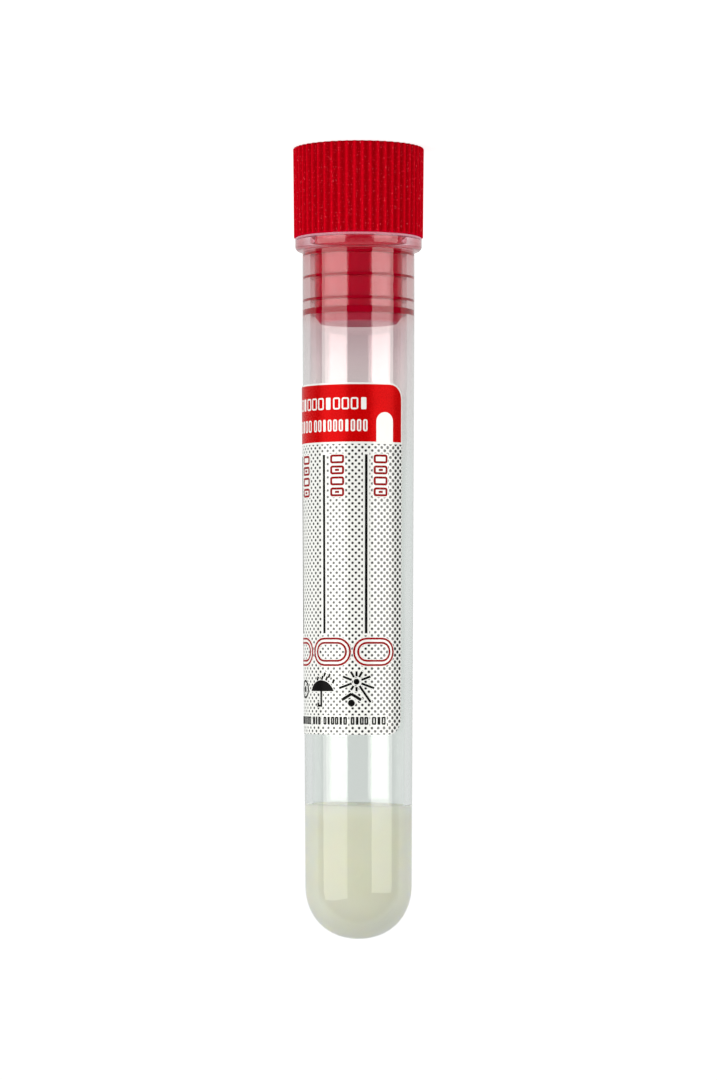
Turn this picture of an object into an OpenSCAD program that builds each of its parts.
// Blood collection tube: a round-ended plastic tube with a separator gel, a wrapped label
// and a ribbed push-in stopper. Its round end can't stand and its round side would roll, so it
// stands upside down on the flat rim of its stopper. Sizes are in millimetres.
//
// Every piece is drawn the right way up, with Z = 0 at the outside of the round end and
// Z growing towards the stopper. at_rest() then turns the whole tube over onto its stopper.
// Angles round the tube are counted from its front, which faces -Y, and grow towards +X.

/* [Tube] */
// Length of the tube from the round end to the top of its flange
tube_len = 100; // [80:1:130]
// Outside radius of the straight neck under the flange
neck_r = 8; // [7.6:0.05:8.3]
// Length of the straight neck
neck_len = 12; // [6:0.5:16]
// Outside radius of the round end
end_r = 7.58; // [7.2:0.02:7.8]
// Wall thickness of the tube
wall = 1.05; // [0.8:0.05:1.3]
// Thickness at the middle of the round end
floor_t = 1.15; // [0.9:0.05:1.6]
// Outside radius of the flange
flange_r = 9.06; // [8.7:0.02:9.1]
// Thickness of the flange
flange_t = 1.9; // [1.3:0.1:3]
// Rounding of the flange's lower edge
flange_round = 0.65; // [0.3:0.05:0.75]
// Rounding of the flange's upper edge
flange_top_round = 0.25; // [0.1:0.05:0.4]
// Chamfer at the inside edge of the mouth
mouth_chamfer = 0.3; // [0.1:0.05:0.5]

/* [Separator gel] */
// Height of the gel's top above the outside of the round end
gel_top = 19.4; // [10:0.5:24]
// Gap left between the gel and the tube wall
gel_gap = 0.01; // [0.01:0.01:0.05]

/* [Stopper head] */
// Height of the head above the flange
head_h = 12.9; // [9:0.1:16]
// Radius over the ribs at the head's lower edge
head_r = 9.25; // [9.1:0.01:9.6]
// How much wider the head's upper edge is, on the radius
head_flare = 0.12; // [0:0.01:0.3]
// Number of ribs round the head
ribs = 52; // [40:1:60]
// Radius of the groove between two ribs
groove_r = 0.5; // [0.35:0.05:0.5]
// Depth of the groove between two ribs
groove_depth = 0.28; // [0.15:0.01:0.3]
// Rounding of the head's upper edge
head_round = 0.4; // [0.3:0.05:0.7]
// Rounding of the head's lower edge
head_low_round = 0.25; // [0.1:0.05:0.4]

/* [Stopper plug] */
// Depth of the plug below the top of the flange
plug_len = 12.3; // [11.9:0.1:13.5]
// Radius of the plug between its fins
plug_r = 6.3; // [6:0.05:6.5]
// Radius of the plug's flat tip
tip_r = 5.6; // [5.4:0.05:5.8]
// Radial clearance of the fins and the bead in the bore
fin_gap = 0.05; // [0.02:0.01:0.09]
// Number of sealing fins
fins = 3; // [2:1:3]
// Depth of the first fin below the top of the flange
fin_depth = 2.4; // [1.5:0.1:2.8]
// Distance from one fin to the next
fin_pitch = 3.3; // [2.6:0.1:3.4]
// Thickness of a fin
fin_t = 0.35; // [0.25:0.05:0.5]
// Depth at which the sealing bead starts
bead_depth = 10.2; // [10:0.05:10.4]
// Height of the sealing bead
bead_h = 1; // [0.8:0.05:1.2]

/* [Stopper recess] */
// Wall of the head outside its recess
head_wall = 1.55; // [1.2:0.05:2]
// Thickness of the web between the head's recess and the plug's
web_t = 1.3; // [0.8:0.1:2]
// Wall of the plug
plug_wall = 1.3; // [1:0.05:1.6]
// Thickness of the plug's closed tip
tip_t = 1.2; // [0.8:0.1:2]

/* [Label] */
// Height of the label's lower edge above the outside of the round end
label_base = 29.2; // [26:0.1:32]
// Height of the label along the tube
label_h = 49.6; // [44:0.1:52]
// Width of the label round the tube
label_w = 38; // [36:0.5:42]
// Angle of the label's right-hand edge from the front
label_edge = 50; // [45:1:60]
// Thickness of the label
label_t = 0.12; // [0.1:0.01:0.2]
// Radius of the label's corners
label_corner = 2.3; // [1:0.1:3]

/* [Label print] */
// Thickness of the printed fields
ink_t = 0.05; // [0.04:0.01:0.08]
// White margin round the header field
margin = 0.25; // [0.2:0.05:0.4]
// Height of the header field
header_h = 8.1; // [7.5:0.1:9]
// Height of one line of the header
line_h = 1.7; // [1.2:0.1:1.9]
// Distance from one header line to the next
line_pitch = 3.1; // [2.4:0.1:3.4]
// Width of the round-topped white tab in the header
tab_w = 2.6; // [2:0.1:3.5]
// Height of the white tab
tab_h = 4.2; // [3:0.1:5.5]
// Width of the upright rules between the columns
rule_w = 0.28; // [0.2:0.02:0.5]
// Angle from one rule to the next
column = 45.2; // [40:0.1:50]
// Number of columns, with one rule each
columns = 5; // [3:1:5]
// Width of the red heading block at the top of a column
heading_w = 2.1; // [1.5:0.1:3]
// Length of the red heading block
heading_h = 5.9; // [4:0.1:8]
// Height of the capsule outlines below the columns
capsule_h = 4; // [3:0.1:4.4]
// Length of one capsule outline
capsule_w = 6.2; // [5:0.1:7]
// Thickness of the capsules' outline
capsule_line = 0.3; // [0.2:0.05:0.5]
// Height of the box that the shower and sun marks are drawn in
mark_h = 4.9; // [3.6:0.1:5]
// Thickness of the strokes in the marks
stroke = 0.25; // [0.2:0.05:0.35]
// Height of the line of small blocks at the lower edge
small_h = 1.1; // [0.8:0.1:1.4]
// Distance from the label's lower edge to the line of small blocks
small_gap = 1.4; // [1:0.1:2]
// Distance from the line of small blocks to the marks
mark_gap = 1.4; // [0.5:0.1:2]
// Distance from the marks to the capsules
capsule_lift = 0.85; // [0.5:0.05:1.5]
// Distance from the capsules to the rules, which fill what is left up to the header
capsule_gap = 0.6; // [0.4:0.1:1.2]
// Distance from the header field to the rules
rule_gap = 1.8; // [1:0.1:2.5]

/* [Hidden] */
$fn = 96;
past = 1; // how far a cutter reaches past what it cuts
crossing = 0.01; // how far a corner's circle reaches past the edges it rounds, so that it cuts them cleanly

// Tube
neck_base = tube_len - flange_t - neck_len;
taper = (neck_r - end_r) / (neck_base - end_r);
bore_end_r = end_r - wall;
bore_end_z = floor_t + bore_end_r;
bore_r = neck_r - wall;

// Stopper
head_top = tube_len + head_h;
head_top_r = head_r + head_flare;
tip_z = tube_len - plug_len;
seal_r = bore_r - fin_gap;
bead_z = tube_len - bead_depth - bead_h;
bead_edge = bead_h / 4;
head_recess_r = head_r - groove_depth - head_wall;
plug_recess_r = plug_r - plug_wall;
recess_edge = 0.3;

// Label
label_top = label_base + label_h;
label_mid_r = (tube_r(label_base) + tube_r(label_top)) / 2 + label_t;
label_span = arc_angle(label_w);
label_start = label_edge - label_span;

// Label print, in millimetres above the round end and in degrees round the tube
margin_a = arc_angle(margin);
header_top = label_top - margin;
header_base = header_top - header_h;
line_end = 9; // right-hand end of the header's lines
line_base = header_top - (header_h - line_pitch - line_h) / 2 - line_h;
line_blocks = [22, 46, 15, 30, 12, 38, 26]; // widths of the blocks in a header line
block_gap = 4;
tab_a = 27.5;
first_rule = 7.8;
rule_top = header_base - rule_gap;
heading_a = 15.2; // from a rule to the middle of the heading on its right
capsule_end = 40;
capsule_step = arc_angle(capsule_w + capsule_line);
mark_reach = 20; // half the angle that holds one mark
sun_a = -2;
shower_a = -42;
ring_a = -73;
drops = [[-0.17, 0.78], [0.01, 0.8], [0.17, 0.78], [0.4, 0.7], [0.1, 0.9], [0.26, 0.86]]; // lower ends, in mark heights
sun_rays = [
    [20, 0.43], [60, 0.33], [90, 0.3], [120, 0.33], [160, 0.43],
    [200, 0.55], [235, 0.29], [270, 0.28], [305, 0.72], [340, 0.55]
]; // angle of each ray and its reach from the disc's middle, in mark heights
small_z = label_base + small_gap;
mark_base = small_z + small_h + mark_gap;
capsule_top = mark_base + mark_h + capsule_lift + capsule_h;
rule_base = capsule_top + capsule_gap;
small_end = 29; // right-hand end of the line of small blocks
small_blocks = [15, 18, 27, 12, 33, 20, 14, 25]; // widths of the blocks in the small line

// Outside radius of the tube at a height on its body
function tube_r(z) = end_r + taper * (min(z, neck_base) - end_r);
// Angle that a length takes up on the label
function arc_angle(length) = length / label_mid_r * 180 / PI;
// Where block i of a line starts, counted back from the line's right-hand end
function block_start(blocks, i) = i < 0 ? 0 : block_start(blocks, i - 1) + blocks[i] + (i > 0 ? block_gap : 0);

// Turns what is drawn the right way up over onto the top of the stopper
module at_rest() {
    translate([0, 0, head_top])
        rotate([0, 180, 0])
            children();
}

// Turns what is drawn towards +X to an angle round the tube
module facing(angle) {
    rotate([0, 0, angle - 90])
        children();
}

// Cuts the profile's upper outside corner at [r, z] to a radius
module round_top(r, z, radius) {
    translate([r - radius, z - radius])
        difference() {
            square(radius + past);
            circle(radius);
        }
}

// Cuts the profile's lower outside corner at [r, z] to a radius
module round_bottom(r, z, radius) {
    translate([0, 2 * z])
        mirror([0, 1])
            round_top(r, z, radius);
}

// Everything inside the tube's wall, held clear of it by a gap
module bore(gap = 0) {
    translate([0, 0, bore_end_z])
        sphere(bore_end_r - gap);
    translate([0, 0, bore_end_z])
        cylinder(neck_base - bore_end_z, bore_end_r - gap, bore_r - gap);
    translate([0, 0, neck_base])
        cylinder(tube_len - neck_base + past, r = bore_r - gap);
}

module flange_profile() {
    difference() {
        translate([0, tube_len - flange_t])
            square([flange_r, flange_t]);
        round_top(flange_r, tube_len, flange_top_round);
        round_bottom(flange_r, tube_len - flange_t, flange_round);
    }
}

module tube() {
    color([0.86, 0.89, 0.87, 0.35])
        at_rest()
            difference() {
                union() {
                    translate([0, 0, end_r])
                        sphere(end_r);
                    translate([0, 0, end_r])
                        cylinder(neck_base - end_r, end_r, neck_r);
                    translate([0, 0, neck_base])
                        cylinder(neck_len + flange_t / 2, r = neck_r);
                    rotate_extrude()
                        flange_profile();
                }
                bore();
                translate([0, 0, tube_len - mouth_chamfer])
                    cylinder(2 * mouth_chamfer, bore_r, bore_r + 2 * mouth_chamfer);
            }
}

module gel() {
    color([0.80, 0.81, 0.69])
        at_rest()
            intersection() {
                bore(gel_gap);
                cylinder(gel_top, r = end_r);
            }
}

module head_profile() {
    difference() {
        polygon([
            [0, tube_len],
            [head_r, tube_len],
            [head_top_r, head_top],
            [0, head_top]
        ]);
        round_top(head_top_r, head_top, head_round);
        round_bottom(head_r, tube_len, head_low_round);
    }
}

// Grooves between the ribs, counted from the back
module rib_grooves() {
    for (i = [0:ribs - 1])
        facing(180 + i * 360 / ribs)
            translate([head_r - groove_depth + groove_r, 0, tube_len])
                rotate([0, atan(head_flare / head_h), 0])
                    translate([0, 0, -past])
                        cylinder(head_h + 2 * past, r = groove_r, $fn = 24);
}

module plug_profile() {
    translate([0, bead_z])
        square([plug_r, tube_len - bead_z]);
    polygon([
        [0, tip_z],
        [tip_r, tip_z],
        [plug_r, bead_z],
        [0, bead_z]
    ]);
    for (i = [0:fins - 1])
        translate([0, tube_len - fin_depth - i * fin_pitch - fin_t / 2])
            square([seal_r, fin_t]);
    polygon([
        [0, bead_z],
        [seal_r - bead_edge, bead_z],
        [seal_r, bead_z + bead_edge],
        [seal_r, bead_z + bead_h - bead_edge],
        [seal_r - bead_edge, bead_z + bead_h],
        [0, bead_z + bead_h]
    ]);
}

// Space moulded out of the stopper from above: wide in the head, narrow in the plug
module recess_profile() {
    difference() {
        translate([0, tube_len + web_t])
            square([head_recess_r, head_h - web_t + past]);
        round_bottom(head_recess_r, tube_len + web_t, recess_edge);
    }
    difference() {
        translate([0, tip_z + tip_t])
            square([plug_recess_r, plug_len - tip_t + web_t + past]);
        round_bottom(plug_recess_r, tip_z + tip_t, recess_edge);
    }
}

module stopper() {
    color([0.70, 0.02, 0.06])
        at_rest()
            difference() {
                rotate_extrude()
                    difference() {
                        union() {
                            head_profile();
                            plug_profile();
                        }
                        recess_profile();
                    }
                rib_grooves();
            }
}

// A field on the label: from height low to high, from angle start over a span, lift above the tube.
// It follows the tube's wall, also where the taper meets the neck
module field(low, high, start, span, lift, thick) {
    stops = [low, if (low < neck_base && neck_base < high) neck_base, high];
    inner = [for (z = stops) [tube_r(z) + lift, z]];
    outer = [for (i = [len(stops) - 1:-1:0]) inner[i] + [thick, 0]];
    facing(start)
        rotate_extrude(angle = span)
            polygon(concat(inner, outer));
}

// A field of ink on the label
module ink(low, high, start, span) {
    field(low, high, start, span, label_t, ink_t);
}

// A flat figure drawn at a place on the label, as a bar that reaches out through it
module stamp(angle, z) {
    facing(angle)
        translate([0, 0, z])
            rotate([90, 0, 90])
                linear_extrude(neck_r + past)
                    children();
}

// What lies outside a rounded corner of the label. side_x and side_z are 1 or -1
module corner_waste(angle, z, side_x, side_z, radius) {
    stamp(angle - side_x * arc_angle(radius), z - side_z * radius)
        mirror([side_x < 0 ? 1 : 0, 0])
            mirror([0, side_z < 0 ? 1 : 0])
                difference() {
                    square(radius + past);
                    circle(radius + crossing);
                }
}

module label() {
    color([0.93, 0.93, 0.94])
        at_rest()
            difference() {
                field(label_base, label_top, label_start, label_span, 0, label_t);
                for (side_z = [-1, 1])
                    for (side_x = [-1, 1])
                        corner_waste(
                            side_x > 0 ? label_edge : label_start,
                            side_z > 0 ? label_top : label_base,
                            side_x, side_z, label_corner
                        );
            }
}

// A line of blocks on the label, set out from its right-hand end
module block_line(low, high, end, blocks, lift, thick) {
    for (i = [0:len(blocks) - 1])
        field(low, high, end - block_start(blocks, i), blocks[i], lift, thick);
}

module header() {
    difference() {
        ink(header_base, header_top, label_start + margin_a, label_span - 2 * margin_a);
        for (low = [line_base, line_base - line_pitch])
            block_line(low, low + line_h, line_end, line_blocks, 0, label_t + ink_t + past);
        stamp(tab_a, header_base) {
            translate([-tab_w / 2, -past])
                square([tab_w, tab_h - tab_w / 2 + past]);
            translate([0, tab_h - tab_w / 2])
                circle(tab_w / 2);
        }
        for (side_x = [-1, 1])
            corner_waste(
                side_x > 0 ? label_edge - margin_a : label_start + margin_a,
                header_top, side_x, 1, label_corner - margin
            );
    }
}

// A figure of ink at a place on the label
module ink_figure(angle, low, high, reach) {
    intersection() {
        ink(low, high, angle - reach, 2 * reach);
        stamp(angle, low)
            children();
    }
}

module capsule() {
    round_r = capsule_h / 2;
    straight = capsule_w - capsule_h;
    difference() {
        for (side = [-1, 1])
            translate([side * straight / 2, round_r])
                circle(round_r);
        for (side = [-1, 1])
            translate([side * straight / 2, round_r])
                circle(round_r - capsule_line);
        translate([-straight / 2, 0])
            square([straight, capsule_h]);
    }
    for (low = [0, capsule_h - capsule_line])
        translate([-straight / 2, low])
            square([straight, capsule_line]);
}

// A canopy on a hooked stem under short slanted strokes
module shower_mark() {
    canopy_r = mark_h * 0.463;
    canopy_z = mark_h * 0.45;
    hook_w = mark_h * 0.15;
    intersection() {
        translate([0, canopy_z - canopy_r * 0.32])
            circle(canopy_r);
        translate([-canopy_r, canopy_z])
            square([2 * canopy_r, canopy_r]);
    }
    translate([-stroke / 2, 0])
        square([stroke, canopy_z + stroke]);
    translate([-hook_w, 0]) {
        square([hook_w, stroke]);
        square([stroke, 2 * stroke]);
    }
    for (drop = drops)
        translate(mark_h * drop)
            rotate(-25)
                square([stroke, mark_h * 0.07]);
}

// A disc with rays, and a roof over a dot a little to its left
module sun_mark() {
    sun_r = mark_h * 0.086;
    roof_w = mark_h * 0.28;
    roof_z = mark_h * 0.34;
    translate([0, mark_h * 0.725]) {
        circle(sun_r);
        for (ray = sun_rays)
            rotate(ray[0])
                translate([sun_r + stroke, -stroke / 2])
                    square([mark_h * ray[1] - sun_r - stroke, stroke]);
    }
    translate([-mark_h * 0.15, 0]) {
        polygon([
            [-roof_w, roof_z - roof_w * 0.6],
            [0, roof_z],
            [roof_w, roof_z - roof_w * 0.6],
            [roof_w, roof_z - roof_w * 0.6 + stroke],
            [0, roof_z + stroke],
            [-roof_w, roof_z - roof_w * 0.6 + stroke]
        ]);
        translate([0, mark_h * 0.11])
            circle(mark_h * 0.1);
    }
}

// A dot in a ring
module ring_mark() {
    ring_r = mark_h * 0.27;
    translate([0, mark_h * 0.5]) {
        circle(ring_r / 3);
        difference() {
            circle(ring_r);
            circle(ring_r - stroke);
        }
    }
}

module print_red() {
    color([0.80, 0.01, 0.02])
        at_rest() {
            header();
            for (i = [0:columns - 1])
                ink(
                    rule_top - heading_h, rule_top,
                    first_rule - i * column + heading_a - arc_angle(heading_w) / 2, arc_angle(heading_w)
                );
            for (i = [0:columns - 1])
                ink_figure(
                    capsule_end - (i + 0.5) * capsule_step,
                    capsule_top - capsule_h, capsule_top, capsule_step / 2
                )
                    capsule();
        }
}

module print_black() {
    color([0.08, 0.08, 0.09])
        at_rest() {
            for (i = [0:columns - 1])
                ink(rule_base, rule_top, first_rule - i * column - arc_angle(rule_w) / 2, arc_angle(rule_w));
            ink_figure(sun_a, mark_base, mark_base + mark_h, mark_reach)
                sun_mark();
            ink_figure(shower_a, mark_base, mark_base + mark_h, mark_reach)
                shower_mark();
            ink_figure(ring_a, mark_base, mark_base + mark_h, mark_reach)
                ring_mark();
            block_line(small_z, small_z + small_h, small_end, small_blocks, label_t, ink_t);
        }
}

tube();
stopper();
gel();
label();
print_red();
print_black();
